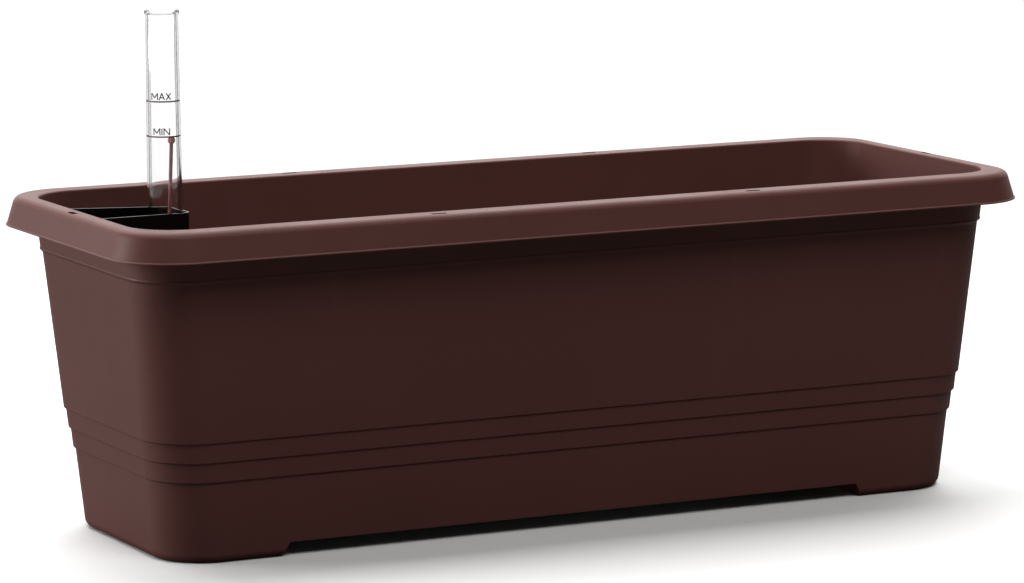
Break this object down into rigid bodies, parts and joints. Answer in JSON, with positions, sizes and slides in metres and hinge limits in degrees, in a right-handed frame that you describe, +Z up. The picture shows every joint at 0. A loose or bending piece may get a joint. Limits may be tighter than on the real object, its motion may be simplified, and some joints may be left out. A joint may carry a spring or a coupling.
{
  "type": "self watering planter",
  "caption": "Rectangular planter box with a hollow rim, a raised soil deck over a water reservoir, textile wicks, a fill shaft and a clear float gauge.",
  "frame": {"origin": "on the floor, under the centre of the planter box", "axes": "+X along the box, away from the gauge end; +Y across the box; +Z up"},
  "size_m": [0.5, 0.2, 0.264],
  "materials": {
    "brown_plastic": "satin moulded",
    "black_plastic": "semi-gloss moulded",
    "clear_plastic": "clear, polished",
    "white_foam": "fine closed-cell foam",
    "red_plastic": "glossy moulded",
    "wick_textile": "needled felt"
  },
  "bodies": {
    "box": {"planter_box": "brown_plastic"},
    "insert": {"separator": "black_plastic", "fill_shaft": "black_plastic", "wick_1": "wick_textile", "wick_2": "wick_textile", "wick_3": "wick_textile", "wick_4": "wick_textile"},
    "gauge": {"gauge_tube": "clear_plastic"},
    "float": {"float": "white_foam", "indicator_rod": "red_plastic"}
  },
  "joints": [
    {"name": "insert_lift", "type": "slide", "parent": "box", "child": "insert", "axis": [0, 0, 1], "range_m": [0, 0.165]},
    {"name": "gauge_lift", "type": "slide", "parent": "insert", "child": "gauge", "axis": [0, 0, 1], "range_m": [0, 0.09]},
    {"name": "float_rise", "type": "slide", "parent": "insert", "child": "float", "axis": [0, 0, 1], "range_m": [0, 0.0175]}
  ]
}
